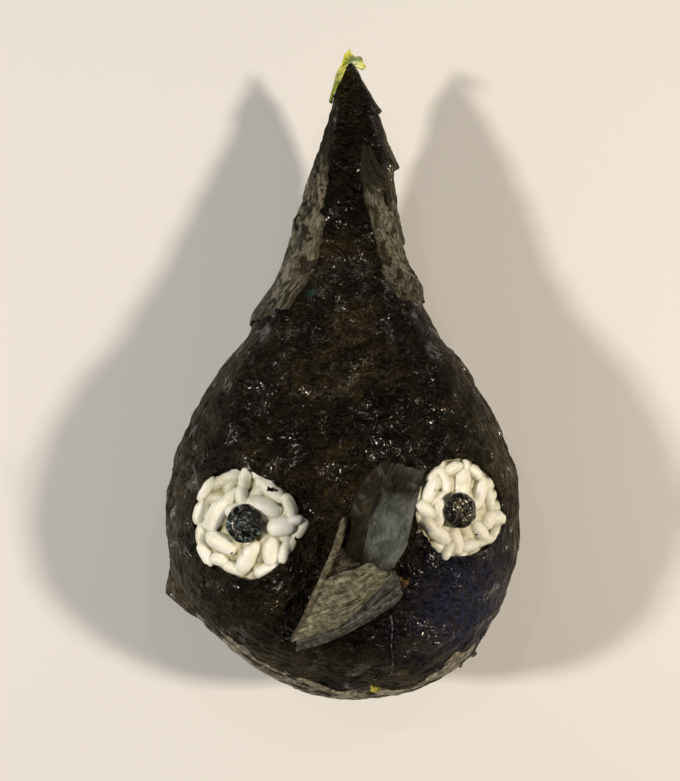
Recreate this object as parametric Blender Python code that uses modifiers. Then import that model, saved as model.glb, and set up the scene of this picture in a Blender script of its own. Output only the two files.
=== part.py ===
"""Drop-shaped onigiri lying on its back: a ball of rice drawn out to a cone, wrapped in nori.

Two round holes in the wrap show the rice as eyes, each with a nori disc as its pupil.  A folded
strip of nori stands between them as the beak, and a scrap of green leaf sits on the cone's tip.
Units are metres.  +Z is up through the face, +Y runs to the cone's tip, and the origin is the
middle of the flat spot that the ball rests on.
"""

import math
import random

import bmesh
import bpy
from mathutils import Matrix, Vector, noise

MM = 0.001

# Ball: round in plan, flattened a little towards the face and more where it rests.
BALL_RADIUS = 39.6 * MM
BALL_REACH = 40.5 * MM  # from the ball's middle to its lower end, opposite the cone
AXIS_HEIGHT = 26.0 * MM
FACE_DEPTH = 26.0 * MM  # from the axis up to the face
BACK_DEPTH = 27.0 * MM  # from the axis down, of which the flat spot cuts off the last 1 mm
DEPTH_POWER = 2.4
LOW_END_LEAN = 3.6 * MM  # the ball's lower end sits this far to the right
LOW_END_LEAN_Y = -14.0 * MM

# Cone: its half width grows as a power of the distance from the tip.
TIP_Y = 104.8 * MM
CONE_BASE_Y = 52.0 * MM
CONE_BASE_HALF_WIDTH = 14.2 * MM
CONE_POWER = 0.62
CONE_DEPTH_SHARE = 0.86
CONE_FADE_Y = 34.0 * MM  # the cone takes over from the ball between the origin and here
CONE_LEAN = 2.4 * MM
CONE_LEAN_RUN = (57.0 * MM, 83.0 * MM)
CONE_DROOP = 3.0 * MM
SHOULDER_POWER = 3.2

# Collar: where the cone's sheet flares out over the ball's.
COLLAR_Y = 41.0 * MM
COLLAR_RISE = 4.7 * MM
COLLAR_HALF_LENGTH = 8.5 * MM

SECTION_POWER = 2.5
TIP_SECTION_POWER = 2.1

WRAP_THICKNESS = 1.0 * MM
GAP = 0.3 * MM
RICE_FLOOR = 2.0 * MM  # the rice's own flat spot, a little higher than the wrap's inside
RINGS = 24
SEGMENTS = 24
WRAP_FINENESS = 2  # the wrap's outside has this many faces for each one of the rice's

# Relief of the wrap.
BUMP_HEIGHT = 0.45 * MM
BUMP_SIZE = 7.0 * MM
HEM_Y = 46.5 * MM
HEM_SLANT = 2.7 * MM
HEM_HEIGHT = 1.2 * MM
HEM_FADE = 16.0 * MM
FOLD_HEIGHT = 1.0 * MM
FOLD_ANGLES = (math.radians(52), math.radians(125))
FOLD_HALF_ANGLE = math.radians(9)
TOOTH_HEIGHT = 1.2 * MM
TOOTH_RUN = 8.0 * MM
TOOTH_HALF_ANGLE = math.radians(24)
TOOTH_PLACES = (92.0 * MM, 78.5 * MM, 61.5 * MM, 51.0 * MM)
CORNER_Y = -17.3 * MM
CORNER_REACH = 3.2 * MM
CORNER_HALF_LENGTH = 4.5 * MM
CORNER_HALF_ANGLE = math.radians(11)
RAG_PLACE = (27.0 * MM, -32.5 * MM)
RAG_REACH = 1.3 * MM
RAG_RADIUS = 5.0 * MM

# Eyes: plan position on the face, radius of the hole in the wrap, number of grains that show.
EYES = {
    "left": {"at": (-19.9 * MM, -1.1 * MM), "radius": 11.4 * MM, "grains": 34, "seed": 5},
    "right": {"at": (24.0 * MM, 2.4 * MM), "radius": 10.0 * MM, "grains": 28, "seed": 11},
}
HOLE_SIDES = 26
HOLE_WAVER = 0.35 * MM
HOLE_HALF_DEPTH = 9.0 * MM
GRAIN_LENGTH = 7.0 * MM
GRAIN_WIDTH = 3.4 * MM
GRAIN_THICKNESS = 2.9 * MM
GRAIN_SIZE_RANGE = (0.86, 1.1)
GRAIN_TILT = math.radians(11)
GRAIN_RISE = 0.75 * MM  # highest top of a grain above the wrap's outside
GRAIN_RISE_UNDER_PUPIL = 0.35 * MM
PUPILS = {
    "left": {"at": (-20.6 * MM, -0.6 * MM), "radius": 3.75 * MM},
    "right": {"at": (24.2 * MM, 1.9 * MM), "radius": 3.6 * MM},
}
PUPIL_THICKNESS = 0.7 * MM
PUPIL_SIDES = 20

# Beak: a roof-shaped strip that leans towards the cone, and the flap in front of its foot.
STRIP_FOOT = Vector((1.9, -15.1, 50.9)) * MM
STRIP_END = Vector((9.9, 11.1, 84.0)) * MM
STRIP_HALF_WIDTHS = (6.0 * MM, 4.4 * MM)
STRIP_RIDGE = 2.6 * MM
STRIP_BOW = 1.4 * MM
FOOT_ACROSS = Vector((0.93, 0.36, 0.02))
END_ACROSS = Vector((0.97, -0.2, 0.1))
FLAP_FOOT = (Vector((-10.6, -25.4, 0)) * MM, Vector((12.5, -14.1, 0)) * MM)
FLAP_TOP = (Vector((-0.5, -4.4, 62.2)) * MM, Vector((9.1, -8.0, 61.4)) * MM)
FLAP_BOW = 1.2 * MM
ROLL_TOP = Vector((0.6, 2.4, 66.0)) * MM
ROLL_RADIUS = 0.62 * MM
BEAK_THICKNESS = 0.8 * MM
BEAK_SECTIONS = 9
BEAK_POINTS_ACROSS = 7

# Green scrap: a thin leaf along the cone's left flank that curls over its tip.
LEAF_LINE = (
    Vector((-3.1, 95.2, 24.8)) * MM,
    Vector((-1.8, 99.6, 24.6)) * MM,
    Vector((-0.5, 103.4, 24.6)) * MM,
    Vector((1.3, 106.9, 25.2)) * MM,
    Vector((3.4, 106.4, 26.0)) * MM,
    Vector((4.9, 104.0, 26.6)) * MM,
)
LEAF_HALF_WIDTHS = (0.5 * MM, 1.6 * MM, 1.9 * MM, 1.8 * MM, 1.5 * MM, 0.3 * MM)
LEAF_TURNS = (80, 76, 62, 34, 22, 20)  # degrees that the leaf's width stands up from level
LEAF_THICKNESS = 0.45 * MM
LEAF_WAVE = 0.35 * MM
LEAF_POINTS_ACROSS = 5
LEAF_STEPS = 4

FINISHES = {
    "nori": {"colour": (0.012, 0.011, 0.007), "roughness": 0.38},
    "rice": {"colour": (0.78, 0.76, 0.66), "roughness": 0.35},
    "leaf": {"colour": (0.22, 0.36, 0.03), "roughness": 0.3},
}


def smooth(value):
    """Eases from 0 to 1 as value does."""
    value = min(max(value, 0.0), 1.0)
    return value * value * (3 - 2 * value)


def bell(distance, half_width):
    return math.exp(-((distance / half_width) ** 2))


def rounded(y, reach, power):
    """Share of the ball's half width or depth that is left at y."""
    return max(0.0, 1 - abs(y / reach) ** power) ** (1 / power)


def cone_half_width(y, inset):
    if y >= TIP_Y:
        return 0.0
    run = (TIP_Y - y) / (TIP_Y - CONE_BASE_Y)
    width = CONE_BASE_HALF_WIDTH * run**CONE_POWER - inset
    return max(0.0, width) * smooth(y / CONE_FADE_Y)


def shoulder(ball, cone):
    """Joins the ball's and the cone's sizes with no corner between them."""
    return (ball**SHOULDER_POWER + cone**SHOULDER_POWER) ** (1 / SHOULDER_POWER)


def middle_x(y):
    """The body's bow in plan: its lower end and the cone's tip both lean to the right."""
    low = smooth((LOW_END_LEAN_Y - y) / (BALL_REACH + LOW_END_LEAN_Y))
    start, end = CONE_LEAN_RUN
    return LOW_END_LEAN * low + CONE_LEAN * smooth((y - start) / (end - start))


def section(y, inset):
    """The body's section at y: middle height, half width, depth up, depth down, power."""
    reach = BALL_REACH - inset
    cone = cone_half_width(y, inset)
    deep = CONE_DEPTH_SHARE * cone
    collar = COLLAR_RISE * bell(y - COLLAR_Y, COLLAR_HALF_LENGTH)
    width = shoulder((BALL_RADIUS - inset) * rounded(y, reach, 2.0), cone) + collar
    up = shoulder((FACE_DEPTH - inset) * rounded(y, reach, DEPTH_POWER), deep) + collar
    down = shoulder((BACK_DEPTH - inset) * rounded(y, reach, DEPTH_POWER), deep) + collar
    along = smooth((y - CONE_FADE_Y) / (TIP_Y - CONE_FADE_Y))
    power = SECTION_POWER + (TIP_SECTION_POWER - SECTION_POWER) * along
    return AXIS_HEIGHT - CONE_DROOP * along, width, up, down, power


def around(y, angle, inset, floor=0.0):
    """Point of the body's surface, with no relief, at an angle about the long axis."""
    middle_z, width, up, down, power = section(y, inset)
    cosine, sine = math.cos(angle), math.sin(angle)
    across = math.copysign(abs(cosine) ** (2 / power), cosine) * width
    raised = math.copysign(abs(sine) ** (2 / power), sine) * (up if sine > 0 else down)
    return Vector((middle_x(y) + across, y, max(middle_z + raised, floor)))


def face_height(x, y, inset=0.0):
    """Height of the face above a point of the plan."""
    middle_z, width, up, _, power = section(y, inset)
    share = min(abs(x - middle_x(y)) / width, 1.0)
    return middle_z + up * (1 - share**power) ** (1 / power)


def face_normal(x, y):
    step = 0.5 * MM
    slope_x = (face_height(x + step, y) - face_height(x - step, y)) / (2 * step)
    slope_y = (face_height(x, y + step) - face_height(x, y - step)) / (2 * step)
    return Vector((-slope_x, -slope_y, 1)).normalized()


def ring_places(inset, fineness):
    """Where the rings lie along Y: by angle on the ball, then evenly up the cone."""
    low, high = -(BALL_REACH - inset), TIP_Y - tip_loss(inset)
    on_ball = RINGS * fineness // 3
    on_cone = RINGS * fineness - on_ball
    ball = [low * math.cos(0.5 * math.pi * i / on_ball) for i in range(1, on_ball + 1)]
    cone = [high * (i / on_cone) ** 0.94 for i in range(1, on_cone)]
    return low, ball + cone, high


def tip_loss(inset):
    """How much sooner the cone ends when it is this much thinner."""
    share = inset / CONE_BASE_HALF_WIDTH
    return (TIP_Y - CONE_BASE_Y) * share ** (1 / CONE_POWER) + inset


def relief(point, angle):
    """How far the wrap stands out of the plain body at a point: bumps, hem, folds and torn edges."""
    height = BUMP_HEIGHT * noise.noise(point / BUMP_SIZE)
    y = point.y
    above_hem = (y - HEM_Y - HEM_SLANT * math.cos(angle)) / HEM_FADE
    if above_hem > 0:
        height += HEM_HEIGHT * (1 - smooth(above_hem)) * smooth(above_hem * 8)
    on_cone = smooth((y - CONE_FADE_Y) / (12 * MM)) * smooth((TIP_Y - y) / (20 * MM))
    for fold in FOLD_ANGLES:
        height += FOLD_HEIGHT * on_cone * bell(angle - fold, FOLD_HALF_ANGLE)
    for place in TOOTH_PLACES:
        run = (place + TOOTH_RUN - y) / TOOTH_RUN
        if 0 < run < 1:
            height += TOOTH_HEIGHT * run * bell(angle, TOOTH_HALF_ANGLE)
    corner = bell(y - CORNER_Y, CORNER_HALF_LENGTH) * bell(angle - math.pi, CORNER_HALF_ANGLE)
    height += CORNER_REACH * corner
    rag = (point - Vector((*RAG_PLACE, AXIS_HEIGHT))).length
    height += RAG_REACH * bell(rag, RAG_RADIUS)
    return height * relief_mask(point)


def relief_mask(point):
    """Nothing of the relief under the beak's foot, on the flat spot or at the very ends."""
    start, end = (Vector((foot.x, foot.y)) for foot in FLAP_FOOT)
    place = Vector((point.x, point.y))
    run = end - start
    share = min(max((place - start).dot(run) / run.length_squared, 0), 1)
    off_foot = (place - start - run * share).length
    if point.z > AXIS_HEIGHT:
        clear = smooth((off_foot - 4 * MM) / (5 * MM))
        strip = (place - Vector((STRIP_FOOT.x, STRIP_FOOT.y))).length
        clear *= smooth((strip - 6 * MM) / (4 * MM))
    else:
        clear = smooth((point.z - WRAP_THICKNESS) / (4 * MM))
    ends = smooth((TIP_Y - point.y) / (4 * MM)) * smooth((point.y + BALL_REACH) / (2 * MM))
    return clear * ends


def add_object(name, mesh, collection, finish=None):
    thing = bpy.data.objects.new(name, mesh)
    collection.objects.link(thing)
    if finish:
        mesh.materials.append(material(finish))
    return thing


def material(finish):
    """One Principled material for each finish, made when it is first asked for."""
    found = bpy.data.materials.get(finish)
    if found:
        return found
    made = bpy.data.materials.new(finish)
    made.use_nodes = True
    shader = made.node_tree.nodes["Principled BSDF"]
    shader.inputs["Base Color"].default_value = (*FINISHES[finish]["colour"], 1)
    shader.inputs["Roughness"].default_value = FINISHES[finish]["roughness"]
    return made


def loft(name, rows, closed):
    """Mesh through rows of points.  Closed rows are rings, and a row of one point is a pole."""
    shape = bmesh.new()
    made = [[shape.verts.new(point) for point in row] for row in rows]
    for low, high in zip(made, made[1:]):
        count = max(len(low), len(high))
        for i in range(count if closed else count - 1):
            j = (i + 1) % count
            corners = [low[i % len(low)], low[j % len(low)], high[j % len(high)], high[i % len(high)]]
            shape.faces.new(list(dict.fromkeys(corners)))
    bmesh.ops.recalc_face_normals(shape, faces=shape.faces)
    mesh = bpy.data.meshes.new(name)
    shape.to_mesh(mesh)
    shape.free()
    mesh.shade_smooth()
    return mesh


def body_mesh(name, inset, floor, fineness=1, with_relief=False):
    """The drop-shaped body, thinner by inset all round and flat below floor."""
    low, places, high = ring_places(inset, fineness)
    count = SEGMENTS * fineness
    rows = [[Vector((middle_x(low), low, AXIS_HEIGHT))]]
    for y in places:
        row = []
        for i in range(count):
            angle = 2 * math.pi * i / count
            point = around(y, angle, inset, floor)
            if with_relief:
                point += outward(y, angle) * relief(point, angle)
                point.z = max(point.z, 0.0)
            row.append(point)
        rows.append(row)
    rows.append([Vector((middle_x(high), high, AXIS_HEIGHT - CONE_DROOP))])
    return loft(name, rows, closed=True)


def outward(y, angle):
    """Direction out of the body's surface, square to it round the section."""
    step = math.radians(2)
    along = around(y, angle + step, 0) - around(y, angle - step, 0)
    return Vector((along.z, 0, -along.x)).normalized()


def boolean(thing, operation, other=None, group=None):
    cut = thing.modifiers.new(operation.title(), "BOOLEAN")
    cut.operation = operation
    if group:
        cut.operand_type = "COLLECTION"
        cut.collection = group
    else:
        cut.object = other
    return cut


def face_frame(x, y):
    """Matrix at a point of the plan, raised to the face, with Z out of the face."""
    turned = face_normal(x, y).to_track_quat("Z", "Y").to_matrix().to_4x4()
    return Matrix.Translation((x, y, face_height(x, y))) @ turned


def hole_cutter(side, collection):
    """Prism with a slightly wavering outline that opens the wrap over an eye."""
    eye = EYES[side]
    outline = []
    for i in range(HOLE_SIDES):
        turn = 2 * math.pi * i / HOLE_SIDES
        waver = math.sin(3 * turn + eye["seed"]) + math.sin(7 * turn)
        radius = eye["radius"] + HOLE_WAVER * 0.5 * waver
        outline.append((radius * math.cos(turn), radius * math.sin(turn)))
    rows = [[Vector((x, y, z)) for x, y in outline] for z in (-HOLE_HALF_DEPTH, HOLE_HALF_DEPTH)]
    rows = [[Vector((0, 0, -HOLE_HALF_DEPTH))], *rows, [Vector((0, 0, HOLE_HALF_DEPTH))]]
    cutter = add_object(f"{side}_eye_hole", loft(f"{side}_eye_hole", rows, True), collection)
    cutter.matrix_world = face_frame(*eye["at"])
    return as_helper(cutter)


def as_helper(thing):
    thing.hide_render = True
    thing.display_type = "WIRE"
    return thing


def grain_mesh(size):
    """One grain of boiled rice: an egg, a little thinner at one end."""
    shape = bmesh.new()
    bmesh.ops.create_uvsphere(shape, u_segments=6, v_segments=4, radius=0.5)
    for vert in shape.verts:
        taper = 1 - 0.25 * vert.co.z
        long, wide, thick = vert.co.z, vert.co.x * taper, vert.co.y * taper
        vert.co = Vector((long * GRAIN_LENGTH, wide * GRAIN_WIDTH, thick * GRAIN_THICKNESS)) * size
    bmesh.ops.recalc_face_normals(shape, faces=shape.faces)
    mesh = bpy.data.meshes.new("grain")
    shape.to_mesh(mesh)
    shape.free()
    return mesh


def grain_place(eye, pupil, index, draw):
    """Matrix and mesh of one grain, kept inside the hole and low enough under the pupil."""
    frame = face_frame(*eye["at"])
    spread = math.sqrt((index + 0.5) / eye["grains"]) * (eye["radius"] - 1.6 * MM)
    turn = index * math.pi * (3 - math.sqrt(5))
    middle = Vector((spread * math.cos(turn), spread * math.sin(turn)))
    mesh = grain_mesh(draw.uniform(*GRAIN_SIZE_RANGE))
    yaw = Matrix.Rotation(draw.uniform(0, math.pi), 4, "Z")
    tilt = Matrix.Rotation(draw.uniform(-GRAIN_TILT, GRAIN_TILT), 4, "Y")
    lift = draw.uniform(-0.6, 0.5) * MM
    for _ in range(12):
        place = frame @ Vector((*middle, 0))
        seat = Vector((place.x, place.y, face_height(place.x, place.y)))
        turned = face_normal(place.x, place.y).to_track_quat("Z", "Y").to_matrix().to_4x4()
        rest = Matrix.Translation(seat) @ turned @ yaw @ tilt
        matrix = rest @ Matrix.Translation((0, 0, lift - 0.5 * GRAIN_THICKNESS))
        local = [frame.inverted() @ matrix @ vert.co for vert in mesh.vertices]
        reach = max(p.xy.length for p in local) - (eye["radius"] - 2 * HOLE_WAVER)
        if reach <= 0:
            break
        middle *= max(0.0, 1 - (reach + 0.1 * MM) / max(middle.length, 1 * MM))
    to_pupil = frame.inverted() @ face_frame(*pupil["at"]).translation
    near_pupil = min((p - to_pupil).xy.length for p in local) < pupil["radius"] + 2 * GAP
    top = max(p.z for p in local)
    allowed = GRAIN_RISE_UNDER_PUPIL if near_pupil else GRAIN_RISE
    matrix = Matrix.Translation(frame.to_3x3() @ Vector((0, 0, min(0, allowed - top)))) @ matrix
    return matrix, mesh


def rice(collection):
    """The rice inside the wrap, with the grains that show in the eyes fused on."""
    body = body_mesh("rice", WRAP_THICKNESS + GAP, RICE_FLOOR)
    body = add_object("rice", body, collection, "rice")
    grains = bpy.data.collections.new("grains")
    bpy.context.scene.collection.children.link(grains)
    for side, eye in EYES.items():
        draw = random.Random(eye["seed"])
        for index in range(eye["grains"]):
            matrix, mesh = grain_place(eye, PUPILS[side], index, draw)
            add_object("grain", mesh, grains).matrix_world = matrix
    boolean(body, "UNION", group=grains)
    bpy.context.view_layer.objects.active = body
    bpy.ops.object.modifier_apply(modifier=body.modifiers[0].name)
    for grain in list(grains.objects):
        bpy.data.objects.remove(grain)
    bpy.data.collections.remove(grains)


def wrap(collection, cutters):
    """The nori round the rice: a skin with two eye holes."""
    skin = body_mesh("nori_wrap", 0.0, 0.0, fineness=WRAP_FINENESS, with_relief=True)
    skin = add_object("nori_wrap", skin, collection, "nori")
    hollow = body_mesh("wrap_hollow", WRAP_THICKNESS, WRAP_THICKNESS)
    hollow = add_object("wrap_hollow", hollow, cutters)
    boolean(skin, "DIFFERENCE", as_helper(hollow))
    for side in EYES:
        boolean(skin, "DIFFERENCE", hole_cutter(side, cutters))


def pupil(side, collection):
    """A disc of nori, domed a little, that lies on the rice of an eye."""
    rows = []
    for share, height in ((1.0, 0.0), (1.02, 0.5), (0.9, 0.95), (0.5, 1.15)):
        row = []
        for i in range(PUPIL_SIDES):
            turn = 2 * math.pi * i / PUPIL_SIDES
            radius = PUPILS[side]["radius"] * share * (1 + 0.035 * math.sin(5 * turn + len(side)))
            level = height * PUPIL_THICKNESS
            row.append(Vector((radius * math.cos(turn), radius * math.sin(turn), level)))
        rows.append(row)
    rows = [[Vector((0, 0, 0))], *rows, [Vector((0, 0, 1.2 * PUPIL_THICKNESS))]]
    disc = add_object(f"{side}_pupil", loft(f"{side}_pupil", rows, True), collection, "nori")
    raised = Matrix.Translation((0, 0, GRAIN_RISE_UNDER_PUPIL + GAP))
    disc.matrix_world = face_frame(*PUPILS[side]["at"]) @ raised


def thicken(thing, thickness):
    """Gives an open sheet its thickness, half to each side, with both faces split alike."""
    thing.modifiers.new("Triangulate", "TRIANGULATE")
    solid = thing.modifiers.new("Solidify", "SOLIDIFY")
    solid.thickness = thickness
    solid.offset = 0.0


def applied(thing):
    """The object with its modifiers made part of its mesh."""
    bpy.context.view_layer.update()
    graph = bpy.context.evaluated_depsgraph_get()
    mesh = bpy.data.meshes.new_from_object(thing.evaluated_get(graph))
    thing.modifiers.clear()
    thing.data = mesh
    return thing


def beak_strip(collection):
    """The long folded strip: a roof in section, narrowing and bowed towards its end."""
    rows = []
    for i in range(BEAK_SECTIONS):
        share = i / (BEAK_SECTIONS - 1)
        middle = STRIP_FOOT.lerp(STRIP_END, share)
        across = FOOT_ACROSS.lerp(END_ACROSS, share).normalized()
        out = across.cross(STRIP_END - STRIP_FOOT).normalized()
        half = STRIP_HALF_WIDTHS[0] + (STRIP_HALF_WIDTHS[1] - STRIP_HALF_WIDTHS[0]) * share
        middle = middle + out * STRIP_BOW * math.sin(math.pi * share)
        row = []
        for j in range(BEAK_POINTS_ACROSS):
            side = 2 * j / (BEAK_POINTS_ACROSS - 1) - 1
            rise = STRIP_RIDGE * (1 - abs(side)) * (0.35 + 0.65 * share)
            row.append(middle + across * half * side + out * rise)
        rows.append(row)
    for point in rows[0]:
        point.z = face_height(point.x, point.y) + GAP + 0.6 * BEAK_THICKNESS
    strip = add_object("beak_strip", loft("beak_strip", rows, closed=False), collection)
    thicken(strip, BEAK_THICKNESS)
    return applied(strip)


def beak_flap(collection):
    """The three-cornered flap that leans on the strip's foot."""
    rows = []
    for i in range(BEAK_SECTIONS - 2):
        share = i / (BEAK_SECTIONS - 3)
        row = []
        for j in range(BEAK_POINTS_ACROSS):
            side = j / (BEAK_POINTS_ACROSS - 1)
            foot = FLAP_FOOT[0].lerp(FLAP_FOOT[1], side)
            foot.z = face_height(foot.x, foot.y) + GAP + 0.6 * BEAK_THICKNESS
            point = foot.lerp(FLAP_TOP[0].lerp(FLAP_TOP[1], side), share)
            bow = FLAP_BOW * math.sin(math.pi * share) * math.sin(math.pi * side)
            row.append(point + Vector((0, -bow, bow)))
        rows.append(row)
    flap = add_object("beak_flap", loft("beak_flap", rows, closed=False), collection)
    thicken(flap, BEAK_THICKNESS)
    return applied(flap)


def beak_roll(collection):
    """The rolled edge of the sheet, up the flap's left side and a little past it."""
    start = FLAP_FOOT[0].copy()
    start.z = face_height(start.x, start.y) + GAP + 1.4 * ROLL_RADIUS
    line = bpy.data.curves.new("beak_roll", "CURVE")
    line.dimensions = "3D"
    line.bevel_depth = ROLL_RADIUS
    line.bevel_resolution = 1
    line.use_fill_caps = True
    spline = line.splines.new("POLY")
    stops = [start, FLAP_TOP[0], ROLL_TOP]
    lengths = [(b - a).length for a, b in zip(stops, stops[1:])]
    steps = 9
    spline.points.add(steps)
    for i in range(steps + 1):
        run = sum(lengths) * i / steps
        if run <= lengths[0]:
            point = stops[0].lerp(stops[1], run / lengths[0])
        else:
            point = stops[1].lerp(stops[2], (run - lengths[0]) / lengths[1])
        spline.points[i].co = (*point, 1)
    curve = add_object("beak_roll", line, collection)
    bpy.context.view_layer.update()
    graph = bpy.context.evaluated_depsgraph_get()
    mesh = bpy.data.meshes.new_from_object(curve.evaluated_get(graph))
    bpy.data.objects.remove(curve)
    shape = bmesh.new()
    shape.from_mesh(mesh)
    bmesh.ops.remove_doubles(shape, verts=shape.verts, dist=0.00001)
    bmesh.ops.recalc_face_normals(shape, faces=shape.faces)
    shape.to_mesh(mesh)
    shape.free()
    return add_object("beak_roll_edge", mesh, collection)


def beak(collection):
    """The beak: strip, flap and rolled edge of one folded sheet, joined."""
    folds = bpy.data.collections.new("beak_folds")
    bpy.context.scene.collection.children.link(folds)
    strip = beak_strip(collection)
    strip.name = "beak"
    strip.data.materials.append(material("nori"))
    beak_flap(folds)
    beak_roll(folds)
    boolean(strip, "UNION", group=folds)
    bpy.context.view_layer.objects.active = strip
    bpy.ops.object.modifier_apply(modifier=strip.modifiers[0].name)
    for fold in list(folds.objects):
        bpy.data.objects.remove(fold)
    bpy.data.collections.remove(folds)


def leaf_stop(values, share):
    """Reads a list of numbers or points part of the way along it."""
    place = share * (len(values) - 1)
    index = min(int(place), len(values) - 2)
    low, high = values[index], values[index + 1]
    return low + (high - low) * (place - index)


def tip_leaf(collection):
    """The green scrap: a thin wavy leaf that turns over as it passes the tip."""
    count = (len(LEAF_LINE) - 1) * LEAF_STEPS
    rows = []
    for i in range(count + 1):
        share = i / count
        middle = leaf_stop(LEAF_LINE, share)
        half = leaf_stop(LEAF_HALF_WIDTHS, share)
        turn = math.radians(leaf_stop(LEAF_TURNS, share))
        run = leaf_stop(LEAF_LINE, min(share + 0.04, 1)) - leaf_stop(LEAF_LINE, max(share - 0.04, 0))
        level = run.cross(Vector((0, 0, 1))).normalized()
        across = level * math.cos(turn) + Vector((0, 0, 1)) * math.sin(turn)
        row = []
        for j in range(LEAF_POINTS_ACROSS):
            side = 2 * j / (LEAF_POINTS_ACROSS - 1) - 1
            wave = LEAF_WAVE * math.sin(9 * share + 2.4 * side)
            row.append(middle + across * half * side + across.cross(run).normalized() * wave)
        rows.append(row)
    leaf = add_object("tip_leaf", loft("tip_leaf", rows, closed=False), collection, "leaf")
    thicken(leaf, LEAF_THICKNESS)


def build():
    for thing in list(bpy.data.objects):
        bpy.data.objects.remove(thing)
    onigiri = bpy.data.collections.new("onigiri")
    cutters = bpy.data.collections.new("cutters")
    for collection in (onigiri, cutters):
        bpy.context.scene.collection.children.link(collection)
    rice(onigiri)
    wrap(onigiri, cutters)
    for side in EYES:
        pupil(side, onigiri)
    beak(onigiri)
    tip_leaf(onigiri)


build()
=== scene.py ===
import math
import random

import bpy
from mathutils import Matrix, Vector, noise


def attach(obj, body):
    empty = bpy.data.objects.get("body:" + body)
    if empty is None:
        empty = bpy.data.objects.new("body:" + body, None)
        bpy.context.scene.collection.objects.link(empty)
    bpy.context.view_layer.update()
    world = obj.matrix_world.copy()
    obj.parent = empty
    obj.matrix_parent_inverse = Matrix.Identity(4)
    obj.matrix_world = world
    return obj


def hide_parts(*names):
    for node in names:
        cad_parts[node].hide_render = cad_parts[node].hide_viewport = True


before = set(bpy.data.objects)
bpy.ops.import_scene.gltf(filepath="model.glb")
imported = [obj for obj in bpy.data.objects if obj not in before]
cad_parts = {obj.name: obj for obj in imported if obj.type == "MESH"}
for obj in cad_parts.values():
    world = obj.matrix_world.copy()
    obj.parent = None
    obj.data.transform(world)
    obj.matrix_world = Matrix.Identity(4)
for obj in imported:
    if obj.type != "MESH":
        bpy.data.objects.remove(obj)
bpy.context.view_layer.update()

MM = 0.001

# The rice ball: boiled short-grain rice, pressed by wet hands to a ball drawn out to a cone.  It is
# one sticky mass, and every other piece is wrapped round it or laid on it.  Only the two eyes show
# it, as single grains in a softer mass.
DROP_VOXEL = 1.0 * MM
CORE_VOXEL = 2.2 * MM
CORE_INSET = 2.6 * MM
RICE_SWELL = 1.1 * MM  # closes the gap between the two solids before they are melted together
HIGH_ABOVE = 0.2  # height (m) from which rays look down on the onigiri
TIP_START = 88 * MM
TIP_STRETCH = 0.12
TIP_TAPER = 0.019  # share of its width that the cone's tip loses for each millimetre
EYE_VOXEL = 0.173 * MM
EYE_DEPTH = 5.0 * MM
EYE_SINK = 2.0 * MM
EYE_MARGIN = 0.5 * MM  # how far the plug under the grains reaches past the eye's radius
EYE_CURVE = 42 * MM  # radius of the ball's crown across an eye
RING_SPOTS = 24
RING_MARGIN = 1.2 * MM
EYES = {
    "left": {"at": (-19.9 * MM, -1.1 * MM), "radius": 11.9 * MM, "seed": 3},
    "right": {"at": (24.0 * MM, 2.4 * MM), "radius": 10.4 * MM, "seed": 8},
}
# The grains that lie on top, each by its middle across and up the eye, its length, its width (mm)
# and its turn from level (degrees).
TOP_GRAINS = {
    "left": (
        (-10.2, 7.2, 6.6, 3.0, 50), (-0.7, 9.4, 5.2, 2.6, 85), (-1.1, 6.0, 4.6, 2.9, 100),
        (3.8, 3.9, 8.0, 3.7, -15), (5.2, 7.2, 8.2, 3.0, -33), (9.4, 3.9, 6.0, 2.6, -68),
        (7.7, -0.2, 6.2, 3.9, 8), (5.4, -5.1, 6.6, 3.6, 84), (0.3, -6.7, 8.0, 3.6, 57),
        (-7.0, 2.0, 8.2, 4.1, 60), (-5.9, -4.0, 7.6, 3.8, -24), (-6.6, -7.6, 4.2, 2.9, -10),
        (-3.2, -9.3, 5.6, 2.8, -15), (4.2, -9.2, 6.2, 3.0, 25), (8.2, -5.4, 5.4, 2.6, 76),
        (-4.2, 4.9, 6.6, 2.8, 52), (10.2, 1.1, 4.4, 2.4, 18), (-11.2, -2.6, 5.6, 2.8, 84),
        (-4.6, 9.6, 5.4, 2.6, 20), (-2.2, 2.9, 5.0, 3.0, 10), (-11.6, 2.2, 5.8, 2.9, 74),
        (-10.0, -6.6, 5.8, 2.9, -58),
    ),
    "right": (
        (-3.7, 5.7, 6.4, 2.9, -70), (0.9, 5.2, 6.0, 3.6, 80), (-1.3, 8.2, 4.8, 2.6, 25),
        (1.9, 8.0, 4.4, 2.4, 92), (4.3, 7.3, 4.4, 2.6, -40), (5.3, 3.1, 7.0, 3.1, 74),
        (7.9, 1.5, 5.6, 2.5, -80), (7.7, -2.6, 4.3, 3.5, 60), (5.4, -5.2, 5.6, 3.2, -50),
        (6.2, -7.0, 4.8, 2.5, 20), (3.0, -8.1, 5.2, 2.7, 12), (-0.8, -6.9, 6.2, 3.4, -75),
        (-4.7, -5.8, 6.4, 3.4, -30), (-7.0, -3.7, 4.4, 2.6, -50), (-7.9, -0.6, 5.0, 3.0, -48),
        (-4.9, -1.2, 6.0, 3.3, 80), (-6.7, 3.7, 6.4, 2.9, 68), (-5.9, 6.8, 4.6, 2.4, 48),
        (-2.7, -8.9, 4.6, 2.4, 60), (3.1, 0.4, 5.2, 3.0, 30), (10.2, -2.4, 3.8, 3.4, 0),
        (9.4, -6.0, 5.2, 2.7, 62),
    ),
}
GRAIN_THICKNESS = 2.7 * MM
GRAIN_SINK = 0.75 * MM  # how deep a top grain's middle lies under the wrap's outside
DEEP_GRAINS = 38
DEEP_GRAIN_SIZE = Vector((6.6, 3.2, 2.8)) * MM
# Depth below the crown, which darkens the rice as painted shade.
DARK_DEPTH = 2.5  # how far under the crown (mm) the stored depth is 1
CREASE_DEPTH = 0.012 * MM


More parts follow.
